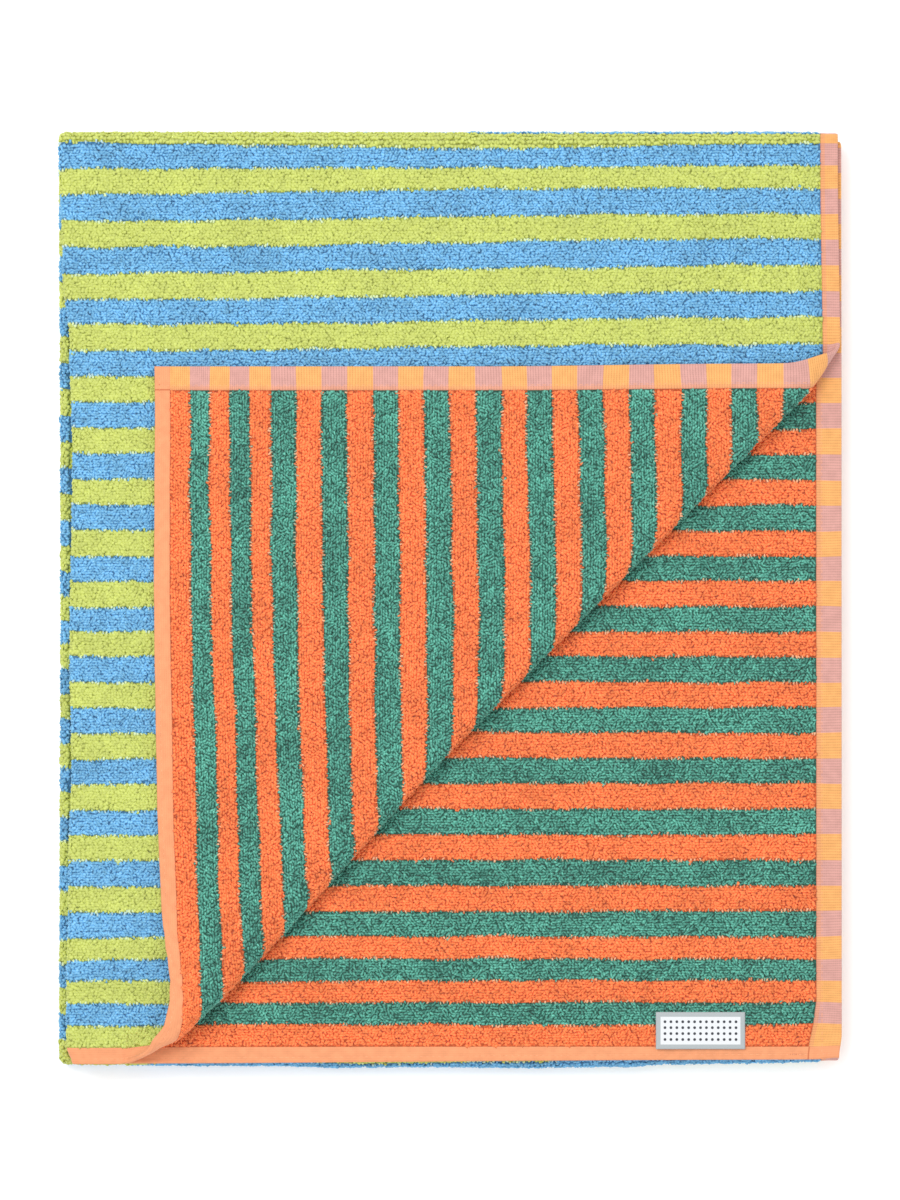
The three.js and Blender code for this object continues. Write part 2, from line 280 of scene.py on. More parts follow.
def settle_height(x, y, z):
    """Heights of the settled towel: slow waves and soft creases that grow towards the top, a droop at the
    hems on the right, and a little fullness along the three folds. The bottom stays flat on the floor."""
    wave = crease_height(x, y) + sum(height * np.sin(2 * np.pi * (x / across + y / along) + phase)
                                     for height, across, along, phase in waves)
    droop = hem_droop * ease_between(droop_from, droop_to, x)
    from_fold = np.minimum(x + folded_width / 2, folded_length / 2 - np.abs(y))
    fullness = fold_fullness * np.exp(-np.maximum(from_fold, 0) / fullness_fade)
    off_floor = ease(z / (2 * pile_thickness))
    loft = ease_between(pile_thickness, top_layer_height, z)
    return z * (1 + (fullness - droop) * off_floor) + wave * loft


# The second layer's hemmed corner is drawn in by its seams, to the left and a little up the page.
corner_pull = 1.3
corner_pull_up = 0.78
corner_pull_reach = 13

# How far the bottom fold stands out at places across it.
bottom_fold_fullness = (
    (-199, 0), (-180, 0.1), (-150, 0.4), (-90, 0.6), (-55, 1.5), (-10, 1.2), (40, 1.6), (90, 1.1),
    (112, -0.2), (150, -0.7), (199, -1.6),
)

# The whole stack is set a little to the left, which centres its box.
centring = -0.1


def folded_point(across, along, lift):
    """Where a point of the flat cloth lies in the folded towel, from the bends above, one after the other."""
    x, z = fold_in_half(across, lift)
    y, z = fold_in_three(across, along, z)
    turned = turn_corner_back(x, y, lift)
    on_top = (across > side_fold_length) & (along < top_fold_start)
    x, y, z = (np.where(on_top, moved, still) for moved, still in zip(turned, (x, y, z)))
    down_top = np.where(along < top_fold_start, np.clip(y - top_end_y, 0, top_fold_start), along)
    x = x + sideways_shift(across, down_top, x)
    pulled = np.where(across < 0, ease(1 - np.hypot(across_edge + across, along) / corner_pull_reach), 0)
    x = x - corner_pull * pulled
    y = y + corner_pull_up * pulled
    in_fold = ease_between(bottom_fold_start - 12, bottom_fold_start + 3, along)
    in_fold = in_fold * (1 - ease_between(bottom_fold_end - 3, bottom_fold_end + 8, along))
    y = y - in_fold * read_rows(bottom_fold_fullness, 1, x)
    return np.stack([x + centring, y, settle_height(x, y, z + top_layer_height)], axis=-1)


# The stripes run from hem to hem. They drift out of step where one layer lies over another, so a stripe's
# number comes from its distance along the cloth, and that distance from where the two sides of the folds
# lie. Each table gives stripes or millimetres at distances along the cloth, or, for the bottom fold, across
# it.
end_hem = 8.5
narrow_stripe = 11.15
stripe_count = 109
hem_in_stripes = end_hem / narrow_stripe
stripe_marks = (
    (0, -hem_in_stripes), (end_hem, 0), (64.25, 5), (493.25, 38), (674.3, 51.5), (924.3, 71.5),
    (1340.55, 104), (along_edge - end_hem, stripe_count), (along_edge, stripe_count + hem_in_stripes),
)
top_stripe_drift = (
    (0, 5.1), (70, 1.8), (300, 1.9), (383, 4.0), (409, 4.5), (435, 3.6), (461, 1.3), (top_fold_start, 1.0),
    (470.4, -7.2), (top_fold_end, -7.2), (700, 0), (along_edge, 0),
)
second_stripe_drift = (
    (0, 0.2), (110, 0), (310, -2.1), (top_fold_end, -2.1), (700, 0), (bottom_fold_start, -10),
    (bottom_fold_end, -10), (1180, 0), (along_edge, 0),
)
bottom_stripe_shift = (
    (-400, 3.4), (-280, 3.4), (-250, 2.9), (-160, 3.7), (-115, 7.6), (-66, 7.6), (-15, 0), (0, 0), (400, 0),
)
flat_stripe_shift = (
    (0, 0.1), (100, 0.3), (140, 0.6), (215, 0.8), (237, 1.8), (400, 1.6), (422, 0.9), (445, 0.5),
    (top_fold_start, 0.3), (top_fold_end, 0), (along_edge, 0),
)
top_stripe_bow = (
    (0, 0), (430, 0), (446, -1.7), (455, 0.4), (464, 3.6), (top_fold_start, 3.7), (top_fold_end, 0),
    (along_edge, 0),
)
bow_middle = 215
bow_reach = 110
take_up_reach = 40
crease_reach = 18
lean_reach = 150
turned_stripe_lean = ((0, 0), (end_hem, 0), (60, 0.9), (215, 2.9), (along_edge, 2.9))
stripe_wander = 0.45


def smooth_field(across, along, size, seed):
    """Soft random hills from about -1 to 1: a third of the sum of seven waves of about that size, which run in
    random directions."""
    draw = np.random.default_rng(seed)
    angles = draw.uniform(0, 2 * np.pi, 7)
    lengths = size * draw.uniform(0.7, 1.6, 7)
    phases = draw.uniform(0, 2 * np.pi, 7)
    total = 0
    for angle, length, phase in zip(angles, lengths, phases):
        total = total + np.sin(2 * np.pi * (across * np.cos(angle) + along * np.sin(angle)) / length + phase)
    return total / 3.0


def stripe_number(across, along):
    """Stripes counted from the hemmed end, whole numbers at their edges. It is the cloth's length to that
    place, with what the folds take up on either side, each layer's drift to the right, the shifts of the
    top layer and the bottom fold, the turned corner's lean and a slight wander, read against the stripe
    marks."""
    side = np.clip(across / take_up_reach, -1, 1)
    fold_marks = [0, top_fold_start, top_fold_end, bottom_fold_start, bottom_fold_end, along_edge]
    taken_up = end_fold_length / 2
    extra = np.interp(along, fold_marks, [0, 0, taken_up, taken_up, 0, 0])
    creep = np.where(across > 0, top_layer_creep, second_layer_creep)
    crept = creep * np.maximum(1 - along / top_fold_start, 0)
    second_drift = read_rows(second_stripe_drift, 1, along)
    drift = np.where(across > 0, read_rows(top_stripe_drift, 1, along), second_drift)
    past_crease = (across - across_edge + folded_width / 2 - top_end_y - along) / np.sqrt(2) - turn_start
    on_turned = ease(past_crease / crease_reach)
    lean = read_rows(turned_stripe_lean, 1, along) * on_turned * ease((across_edge - across) / lean_reach)
    settled = read_rows(flat_stripe_shift, 1, along) * (1 - on_turned)
    bow = read_rows(top_stripe_bow, 1, along) * np.exp(-((across - bow_middle) / bow_reach) ** 2)
    inside = ease((np.minimum(along, along_edge - along) - end_hem) / 10)
    wander = stripe_wander * inside * smooth_field(across, along, 42, 30)
    near_bottom = 1 - ease((np.abs(along - bottom_fold_start - end_fold_length / 2) - 8) / 25)
    shift = near_bottom * read_rows(bottom_stripe_shift, 1, across) - lean + wander
    shift = shift + (settled + bow) * ease((across + 4) / 8)
    distance = along + side * extra + (crept - drift) * ease(np.abs(across) / across_edge) + shift
    return np.interp(distance, [mark[0] for mark in stripe_marks], [mark[1] for mark in stripe_marks])


# The hems: a checked hem down each long side, wider on the orange face, and a plain one on each short end.
back_side_hem = 13.0
front_side_hem = 9.0
corner_hem_gain = 4.5
corner_hem_length = 30
hem_half = 1.1
ground_half = 0.72
hem_crossing = 0.35
edge_rounding = 1.3

# A hem's turned under edge falls away from just inside its width to just outside it. Its row of stitches
# runs so far in from the side hem's inner edge, and from the end itself.
edge_inside, edge_outside = 0.15, 0.45
side_seam_inset = 2.9
end_seam_inset = 2.7


def side_hem_width(across, along, face):
    """The side hem is wider on the orange face, and widens at the corner of the second layer."""
    gain = np.where(across < 0, corner_hem_gain * (1 - ease(along / corner_hem_length)), 0)
    return np.where(face > 0, front_side_hem, back_side_hem + gain)


def hem_surface(across, along, face):
    """Half the cloth's thickness on one face: rounded over its cut edges, full over a hem, pressed along
    the row of stitches, and down to the ground weave inside, with a little more where two hems cross."""
    from_side = across_edge - np.abs(across)
    from_end = np.minimum(along, along_edge - along)
    width = side_hem_width(across, along, face)
    side_hem = 1 - ease_between(width - edge_inside, width + edge_outside, from_side)
    last_hem = 1 - ease_between(end_hem - edge_inside, end_hem + edge_outside, from_end)
    crossing = hem_crossing * side_hem * last_hem
    pressed = 0.22 * np.exp(-((from_side - (width - side_seam_inset)) / 0.55) ** 2) * side_hem
    pressed = pressed + 0.18 * np.exp(-((from_end - end_seam_inset) / 0.5) ** 2) * last_hem * (1 - side_hem)
    rounding = np.clip(np.minimum(from_side, from_end) / edge_rounding, 0, 1)
    rounding = 0.2 + 0.8 * np.sqrt(1 - (1 - rounding) ** 2)
    full = ground_half + (hem_half - ground_half) * np.maximum(side_hem, last_hem)
    return (full + crossing - pressed) * rounding


def spread(marks, step):
    """The marks, with even places added between them wherever they are more than a step apart."""
    marks = sorted(set(marks))
    parts = [np.linspace(low, high, max(1, int(np.ceil((high - low) / step))), endpoint=False)
             for low, high in zip(marks[:-1], marks[1:])]
    return np.concatenate(parts + [[marks[-1]]])


# The grid's lines lie closer together towards the edges, at the hems' turned under edges and in the folds,
# and its cuts lie closer beside the crease.
grid_step = 12
edge_steps = (
    0, 0.12, 0.35, 0.7, 1.3, 2.0, 2.7, 3.4, 5.5, 7.0, end_hem - edge_inside, end_hem + edge_outside,
    10.1, 11.2, back_side_hem - edge_inside, back_side_hem + edge_outside, 15.5, 18,
)
from_fold_steps = (0, 0.6, 1.2, 1.8, 2.4, 3.0, 3.6, 4.6, 7, 12)
across_marks = [across_edge - step for step in edge_steps] + list(from_fold_steps)
across_lines = spread(across_marks + [-mark for mark in across_marks], grid_step)
fold_steps = np.linspace(0, end_fold_length, 12)
beside_fold_step = 4
along_marks = list(edge_steps) + [along_edge - step for step in edge_steps]
for fold_start in (top_fold_start, bottom_fold_start):
    along_marks += [fold_start - beside_fold_step] + list(fold_start + fold_steps)
    along_marks.append(fold_start + end_fold_length + beside_fold_step)
along_lines = spread(along_marks, grid_step)
crease_levels = list(np.arange(-6, 30, 1.5)) + [33, 37, 42, 48, 55, 63, 72]
merge_distance = 0.12


def cell_corners(rows, columns):
    """The number of each grid cell's first point, in a grid whose points are counted row by row."""
    return (np.arange(rows - 1)[:, None] * columns + np.arange(columns - 1)).ravel()


def flat_cloth():
    """The cloth laid flat, as triangles: a grid of its lines, cut again along lines beside the crease.
    Returns each point's place across and along, and the three point numbers of each triangle."""
    across, along = np.meshgrid(across_lines, along_lines, indexing="ij")
    columns = across.shape[1]
    corner = cell_corners(*across.shape)
    cells = np.stack([corner, corner + columns, corner + columns + 1, corner + 1], axis=-1)
    flat = bpy.data.meshes.new("flat_cloth")
    flat.from_pydata(np.stack([across, along, np.zeros_like(across)], axis=-1).reshape(-1, 3), [], cells)
    cloth = bmesh.new()
    cloth.from_mesh(flat)
    first_across = across_edge - folded_width / 2 + top_end_y
    for level in crease_levels:
        everything = cloth.verts[:] + cloth.edges[:] + cloth.faces[:]
        place = (first_across + np.sqrt(2) * (turn_start + level), 0, 0)
        bmesh.ops.bisect_plane(cloth, geom=everything, dist=merge_distance, plane_co=place,
                               plane_no=(1, -1, 0))
    bmesh.ops.triangulate(cloth, faces=cloth.faces[:])
    cloth.to_mesh(flat)
    cloth.free()
    places = np.empty(len(flat.vertices) * 3)
    flat.vertices.foreach_get("co", places)
    corners = np.empty(len(flat.polygons) * 3, dtype=np.int32)
    flat.polygons.foreach_get("vertices", corners)
    bpy.data.meshes.remove(flat)
    return places.reshape(-1, 3)[:, 0], places.reshape(-1, 3)[:, 1], corners.reshape(-1, 3)


def open_edges(triangles):
    """The edges that only one triangle has, each as its two point numbers in that triangle's order."""
    edges = np.concatenate([triangles[:, [0, 1]], triangles[:, [1, 2]], triangles[:, [2, 0]]])
    _, first, count = np.unique(np.sort(edges, axis=1), axis=0, return_index=True, return_counts=True)
    return edges[first[count == 1]]


def closed_sheet(front, back, triangles, front_map, back_map, rim_map):
    """A thin sheet closed by a rim of two triangles for each open edge. The rim shows the strip of the
    front's map between the edge and the rim's own places. Returns points, triangles and each triangle
    corner's map place."""
    count = len(front)
    rim = open_edges(triangles)
    rim_triangles = np.concatenate([
        np.stack([rim[:, 1], rim[:, 0], rim[:, 0] + count], axis=-1),
        np.stack([rim[:, 1], rim[:, 0] + count, rim[:, 1] + count], axis=-1),
    ])
    behind = triangles[:, ::-1] + count
    faces = np.concatenate([front_map, back_map])
    strip = np.concatenate([front_map, rim_map])
    places = np.concatenate([faces[triangles], faces[behind], strip[rim_triangles]])
    return np.concatenate([front, back]), np.concatenate([triangles, behind, rim_triangles]), places


def make_piece(name, points, triangles, places, material):
    """A piece from points in millimetres, the point numbers of its triangles, and each triangle corner's
    place on the piece's map."""
    mesh = bpy.data.meshes.new(name)
    mesh.from_pydata(points * MM, [], triangles)
    mesh.uv_layers.new(name="OFBake").data.foreach_set("uv", places.astype(np.float32).ravel())
    mesh.polygons.foreach_set("use_smooth", np.ones(len(triangles), dtype=bool))
    mesh.materials.append(material)
    mesh.update()
    piece = bpy.data.objects.new(name, mesh)
    bpy.context.scene.collection.objects.link(piece)
    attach(piece, "root")
    return piece


# Within this distance of the side, the map evens out the side hem's width.
even_reach = 30


def cloth_map(across, along, face):
    """The cloth's map: the lime face on its left half and the orange face on its right half, both across the
    cloth, and stripe numbers up it. The hems are drawn to the same width on it everywhere."""
    from_side = across_edge - np.abs(across)
    width = side_hem_width(across, along, face)
    even_width = np.where(face > 0, front_side_hem, back_side_hem)
    evened = (even_width - width) * np.interp(from_side, [0, 8, 22, 40], [0, 1, 1, 0])
    even = np.where(from_side < even_reach, np.maximum(from_side + evened, 0), from_side)
    share = 0.5 + np.sign(across) * (across_edge - even) / (2 * across_edge)
    number = (stripe_number(across, along) + hem_in_stripes) / (stripe_count + 2 * hem_in_stripes)
    return np.stack([share / 2 + np.where(face > 0, 0, 0.5), number], axis=-1)


class Number:
    """A number in a node tree, for use in formulas: each sign in a formula makes one Math node."""

    def __init__(self, socket):
        self.socket = socket

    def __add__(self, other):
        return math_node("ADD", self, other)

    def __sub__(self, other):
        return math_node("SUBTRACT", self, other)

    def __rsub__(self, other):
        return math_node("SUBTRACT", other, self)

    def __mul__(self, other):
        return math_node("MULTIPLY", self, other)

    def __truediv__(self, other):
        return math_node("DIVIDE", self, other)

    def __gt__(self, other):
        return math_node("GREATER_THAN", self, other)

    def __abs__(self):
        return math_node("ABSOLUTE", self)


def feed(socket, value):
    """Links a node's input to a value, or sets it there."""
    if isinstance(value, Number):
        value = value.socket
    if isinstance(value, bpy.types.NodeSocket):
        socket.id_data.links.new(value, socket)
    else:
        socket.default_value = value


def add_node(tree, kind, values=(), **settings):
    """A node of that kind, with its settings and with values for its inputs in order."""
    node = tree.nodes.new(kind)
    for key, setting in settings.items():
        setattr(node, key, setting)
    for socket, value in zip(node.inputs, values):
        feed(socket, value)
    return node


def math_node(operation, *values):
    """The number that one Math node makes of those values."""
    tree = next(value.socket.id_data for value in values if isinstance(value, Number))
    return Number(add_node(tree, "ShaderNodeMath", values, operation=operation).outputs[0])


def map_range(value, low, high, to_low=0.0, to_high=1.0):
    """The number carried smoothly from one range to another, and held at both ends."""
    values = (value, low, high, to_low, to_high)
    node = add_node(value.socket.id_data, "ShaderNodeMapRange", values, interpolation_type="SMOOTHSTEP")
    return Number(node.outputs[0])


def mix_colours(tree, share, first, second, blend="MIX"):
    """The colour between two colours at a share."""
    node = add_node(tree, "ShaderNodeMix", data_type="RGBA", blend_type=blend)
    for place, value in ((0, share), (6, first), (7, second)):
        feed(node.inputs[place], value)
    return node.outputs[2]


def shaded(tree, colour, shade, share=1.0):
    """The colour times a shade of grey, at a share."""
    grey = add_node(tree, "ShaderNodeCombineXYZ", (shade,) * 3).outputs[0]
    return mix_colours(tree, share, colour, grey, "MULTIPLY")


def map_place(tree):
    """The place on the piece's map: how far right and how far up."""
    place = add_node(tree, "ShaderNodeUVMap", uv_map="OFBake").outputs[0]
    parts = add_node(tree, "ShaderNodeSeparateXYZ", (place,)).outputs
    return Number(parts[0]), Number(parts[1])


def add_bump(tree, shader, height, strength, distance):
    """Tips the shader's normals by a height, of which 1 stands for a distance in millimetres."""
    bump = add_node(tree, "ShaderNodeBump")
    bump.inputs["Strength"].default_value = strength
    bump.inputs["Distance"].default_value = distance * MM
    feed(bump.inputs["Height"], height)
    feed(shader.inputs["Normal"], bump.outputs[0])


def new_group(name, inputs, outputs):
    """An empty shader node group with those named sockets. Returns it with its input and output nodes."""
    group = bpy.data.node_groups.new(name, "ShaderNodeTree")
    for title, kind in inputs.items():
        group.interface.new_socket(title, in_out="INPUT", socket_type="NodeSocket" + kind)
    for title, kind in outputs.items():
        group.interface.new_socket(title, in_out="OUTPUT", socket_type="NodeSocket" + kind)
    return group, group.nodes.new("NodeGroupInput"), group.nodes.new("NodeGroupOutput")


def plain_weave():
    """Flat cloth's threads: two sets of rounded ridges, one across and one along, that pass over and under
    each other in turn, so the height follows both sets and the product of their sines. Shade is that
    height's light and dark."""
    group, given, made = new_group("plain_weave", {"Across threads": "Float", "Along threads": "Float"},
                                   {"Height": "Float", "Shade": "Float"})
    across, along = (math_node("SINE", Number(given.outputs[place]) * np.pi) for place in (0, 1))
    height = abs(across) * 0.28 + abs(along) * 0.72 + across * along * 0.12
    feed(made.inputs["Height"], height)
    feed(made.inputs["Shade"], map_range(height, 0.1, 0.85, 0.72, 1.05))
    return group


def new_material(name, roughness, specular, sheen):
    """A cloth material with its even values set on the shader. Returns it with its node tree and shader."""
    material = bpy.data.materials.new(name)
    material.use_nodes = True
    shader = material.node_tree.nodes["Principled BSDF"]
    shader.inputs["Roughness"].default_value = roughness
    shader.inputs["Specular IOR Level"].default_value = specular
    shader.inputs["Sheen Weight"].default_value = sheen
    shader.inputs["Sheen Roughness"].default_value = 0.5
    return material, material.node_tree, shader


def tinted(red, green, blue, strength=1.0):
    """A colour seen on the towel, given as screen values from 0 to 255, as light, and made darker by
    strength."""
    seen = np.array([red, green, blue]) / 255
    light = np.where(seen <= 0.04045, seen / 12.92, ((seen + 0.055) / 1.055) ** 2.4)
    return (*np.minimum(light * strength, 1), 1)


weave = plain_weave()


def cloth_material():
    """The ground cloth under the loops in darker tones of the stripes, painted shade between the loops, with a
    napped surface of small cells that grow darker towards their edges as more painted shade. The side hems are
    checked in orange and mauve that follow the stripes, with a peach strip along their inner side and a dark
    line of painted shadow just inside it, where the turned edge falls away. The end hems are plain peach, with
    the same dark line of painted shadow where the side hems' inner edges cross them."""
    material, tree, shader = new_material("terry_ground_and_hems", 0.85, 0.2, 0.1)
    right, up = map_place(tree)
    back = right > 0.5
    from_side = (0.5 - abs(right * 2.0 - back - 0.5)) * (2 * across_edge)
    number = up * (stripe_count + 2 * hem_in_stripes) - hem_in_stripes
    odd = math_node("FRACT", number * 0.5) > 0.5

    spot = add_node(tree, "ShaderNodeCombineXYZ", (from_side, number * 13.0, back)).outputs[0]
    nap_cells = add_node(tree, "ShaderNodeTexVoronoi", (spot,))
    nap_cells.inputs["Scale"].default_value = 0.8
    nap_relief_and_shade = Number(nap_cells.outputs["Distance"])
    # Painted shade: the ground shows between the loops in darker tones of the stripes, darker again towards
    # each napped cell's edge.
    front_ground_in_shade = mix_colours(tree, odd, tinted(196, 206, 92, 0.9), tinted(92, 160, 214, 0.62))
    back_ground_in_shade = mix_colours(tree, odd, tinted(246, 116, 66, 0.72), tinted(64, 126, 108, 0.62))
    ground = mix_colours(tree, back, front_ground_in_shade, back_ground_in_shade)
    ground = shaded(tree, ground, map_range(nap_relief_and_shade, 0.1, 0.75, 1.2, 0.62))

    to_inner_edge = back * (back_side_hem - front_side_hem) + front_side_hem - from_side
    side_hem = map_range(to_inner_edge, -0.2, 0.1)
    last_hem = math_node("MAXIMUM", map_range(number, 0.012, -0.012),
                         map_range(number, stripe_count - 0.012, stripe_count + 0.012))
    checks = mix_colours(tree, odd, tinted(249, 180, 110, 0.86), tinted(222, 166, 156, 0.86))
    peach_strip = map_range(to_inner_edge, 2.5, 2.0) * 0.5
    checks = mix_colours(tree, peach_strip, checks, tinted(246, 164, 118, 0.82))
    # Painted shadow: a dark line just inside the side hem's inner edge, where the turned edge falls away.
    inner_edge_shadow = map_range(to_inner_edge, 0.55, 0.2) * 0.45
    checks = mix_colours(tree, inner_edge_shadow, checks, tinted(176, 108, 84))

    threads = add_node(tree, "ShaderNodeGroup", (from_side / 1.1, number * 9.5), node_tree=weave)
    checks = shaded(tree, checks, threads.outputs["Shade"], 0.75)
    plain = shaded(tree, tinted(255, 170, 122, 0.79), threads.outputs["Shade"], 0.25)
    # Painted shadow: the same dark line where a side hem's inner edge crosses the end hem.
    crossing_edge_shadow = map_range(abs(to_inner_edge - 0.3), 0.55, 0.2) * 0.7
    plain = mix_colours(tree, crossing_edge_shadow, plain, tinted(180, 88, 54))
    mottle = add_node(tree, "ShaderNodeTexNoise", (spot,))
    mottle.inputs["Scale"].default_value = 0.22
    mottle.inputs["Detail"].default_value = 3.0
    mottled = map_range(Number(mottle.outputs["Fac"]), 0.3, 0.7, 0.93, 1.04)
    hems = shaded(tree, mix_colours(tree, last_hem, checks, plain), mottled)
    in_hem = math_node("MAXIMUM", side_hem, last_hem)
    feed(shader.inputs["Base Color"], mix_colours(tree, in_hem, ground, hems))

    hem_height = Number(threads.outputs["Height"]) * map_range(last_hem, 0.0, 1.0, 1.0, 0.35)
    add_bump(tree, shader, nap_relief_and_shade * (in_hem - 1.0) * 2.0 + hem_height * in_hem, 0.5, 0.25)
    return material


# The rim's map places lie half a millimetre further in from the sides, and as little from the ends.
rim_strip = 0.5 / (4 * across_edge)
end_rim_strip = 0.0004

flat_across, flat_along, top_triangles = flat_cloth()
front_lift, back_lift = (face * hem_surface(flat_across, flat_along, face) for face in (1, -1))
front_points = folded_point(flat_across, flat_along, front_lift)
back_points = folded_point(flat_across, flat_along, back_lift)
front_map, back_map = (cloth_map(flat_across, flat_along, face) for face in (1, -1))
at_end = np.minimum(flat_along, along_edge - flat_along) < 0.01
rim_across = np.where(at_end, 0, np.where(flat_across > 0, -rim_strip, rim_strip))
rim_along = np.where(at_end, np.where(flat_along < end_hem, end_rim_strip, -end_rim_strip), 0)
rim_map = front_map + np.stack([rim_across, rim_along], axis=-1)
cloth = make_piece(
    "towel_cloth", *closed_sheet(front_points, back_points, top_triangles, front_map, back_map, rim_map),
    cloth_material())
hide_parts("towel")

# The pile
# Thousands of short cotton loops, woven into the ground cloth in rows beside the stripes and pressed this way
# and that by washing. Each is a small blob leaning its own way, and each colour of yarn is one piece.

# The pitches of the rows and of the loops in them, on top and underneath, how high a loop's middle lies
# over the cloth's, how near the floor its points may come, and how near a stripe's edge, in stripes, loops
# point over it and take the mixed tone.
row_pitch = 1.36
loop_pitch = 1.66
loop_lift = 1.15
under_row_pitch = 3.2
under_loop_pitch = 4.4
floor_gap = 0.02
edge_share = 0.06
mixed_share = 0.05


def loop_places(across_range, along_range, across_pitch, along_pitch, seed, shows):
    """Rows of places over a part of the cloth, staggered like bricks, each moved at random by part of the
    pitch. Only those that show are kept."""
    draw = np.random.default_rng(seed)
    rows = np.arange(along_range[0], along_range[1], along_pitch)
    places = np.arange(across_range[0], across_range[1], across_pitch)
    along, across = np.meshgrid(rows, places, indexing="ij")
    across = across + draw.uniform(-0.2, 0.2, (len(rows), 1)) * across_pitch
    across[::2] += across_pitch / 2
    across = across + draw.normal(0, 0.15 * across_pitch, across.shape)
    along = along + draw.normal(0, 0.15 * along_pitch, along.shape)
    across, along = across.ravel(), along.ravel()
    shown = shows(across, along)
    return across[shown], along[shown]


# How far from the hems the loops' middles stay, and how much of the second layer's end hem they hide.
side_clearance = 0.75
end_clearance = 0.7
hidden_hem = 1.9


def has_pile(across, along, face):
    """True inside the hems. Loops hide more of the second layer's end hem towards its corner."""
    from_side = across_edge - np.abs(across)
    from_end = np.minimum(along, along_edge - along)
    hidden = np.where((across < 0) & (along < 20), hidden_hem * ease(np.abs(across) / across_edge), 0)
    inside_sides = from_side > side_hem_width(across, along, face) + side_clearance
    return inside_sides & (from_end > end_hem + end_clearance - hidden)


# How far from the cloth's middle line a loop still lies in the left fold, how far the loops go on under the
# turned corner's edges, closed and open, where the roll's open end begins along the crease, and how far
# into it and how far down behind the top fold one can see.
left_fold_reach = 4.5
under_edge = 5
under_open_edge = 32
open_end = -244
into_open_end = 40
behind_top_fold = 16


def page_place(across, along):
    """Where a point of a flat layer would lie before the corner is turned back, past the crease and along
    it."""
    x, z = fold_in_half(across, np.zeros_like(across))
    y, z = fold_in_three(across, along, z)
    return crease_axes(x, y)


def shows_on_front(across, along):
    """The lime face shows on the top layer beside the turned corner, inside the open end of the roll, over
    the folds, and a little way in under the layers' edges."""
    reach, run = page_place(across, along)
    start, roll_reach, roll_rise = roll_at(run)
    roll_length = np.pi * np.hypot(roll_reach, roll_rise) / np.sqrt(2)
    mirrored = 2 * start + roll_length - reach
    flap_x = (mirrored + run) / np.sqrt(2)
    flap_y = (run - mirrored) / np.sqrt(2)
    margin = under_edge + under_open_edge * ease_between(-170, -225, run)
    covered = (flap_x < folded_width / 2 - margin) & (flap_y > top_end_y + margin + top_layer_creep / 2)
    in_open_roll = (run < open_end) & (reach < start + into_open_end) & (across > 0)
    on_top = (across > -left_fold_reach) & (along <= top_fold_start)
    top = on_top & ((~covered & (reach < start + 1)) | in_open_roll)
    top_fold = (across > -left_fold_reach) & (along > top_fold_start)
    top_fold = top_fold & (along < top_fold_end + behind_top_fold)
    left_folds = (np.abs(across) < left_fold_reach) & (along > top_fold_start)
    bottom_fold = (across < left_fold_reach) & (along > bottom_fold_start - 5) & (along < bottom_fold_end)
    return (top | top_fold | left_folds | bottom_fold) & has_pile(across, along, 1)


def shows_on_back(across, along):
    """The orange face shows on the turned corner, over the roll, and on the second layer beside the roll."""
    reach, run = page_place(across, along)
    start, roll_reach, roll_rise = roll_at(run)
    turned = (across > side_fold_length) & (along < top_fold_start) & (reach > start - 1)
    under_roll = 4 + 14 * ease_between(-60, -225, run)
    bared = (across < -side_fold_length) & (along < top_fold_start) & (reach > start - under_roll)
    return (turned | bared) & has_pile(across, along, -1)


def shows_underneath(across, along):
    """The lime face of the lowest layer is all underneath."""
    return has_pile(across, along, 1)


def cloth_directions(across, along, lift):
    """The folded cloth's own directions at a point: across, along and out of the lime face, each of length
    one, from points half a millimetre to each side."""
    step = 0.5
    sideways = folded_point(across + step, along, lift) - folded_point(across - step, along, lift)
    sideways = sideways / np.linalg.norm(sideways, axis=-1, keepdims=True)
    lengthways = folded_point(across, along + step, lift) - folded_point(across, along - step, lift)
    outwards = np.cross(sideways, lengthways)
    outwards = outwards / np.linalg.norm(outwards, axis=-1, keepdims=True)
    return sideways, np.cross(outwards, sideways), outwards


# A loop's points, as shares of its length, width and height: a short crown over a longer foot.
blob_shape = np.array([(0.3, 0, 0.5), (-0.3, 0, 0.5), (0.5, 0.5, -0.5), (0.5, -0.5, -0.5), (-0.5, 0.5, -0.5),
                       (-0.5, -0.5, -0.5)])
blob_triangles = np.array([[0, 3, 2], [1, 4, 5], [0, 2, 4], [0, 4, 1], [0, 1, 5], [0, 5, 3], [2, 3, 5],
                           [2, 5, 4]])


def blobs(middle, heading, upright, length, width, height):
    """Small smooth blobs of eight faces, each with a crown of two points along its heading and a foot of
    four. Returns their points and their triangles."""
    beside = np.cross(upright, heading)
    axes = np.stack([heading * length, beside * width, upright * height], axis=1)
    points = middle[:, None] + np.einsum("pa,nax->npx", blob_shape, axes)
    triangles = blob_triangles[None] + 6 * np.arange(len(middle))[:, None, None]
    return points.reshape(-1, 3), triangles.reshape(-1, 3)


def from_stripe_edge(across, along):
    """The distance to the nearest edge of a stripe, in stripes."""
    number = stripe_number(across, along)
    return np.abs(number - np.round(number))


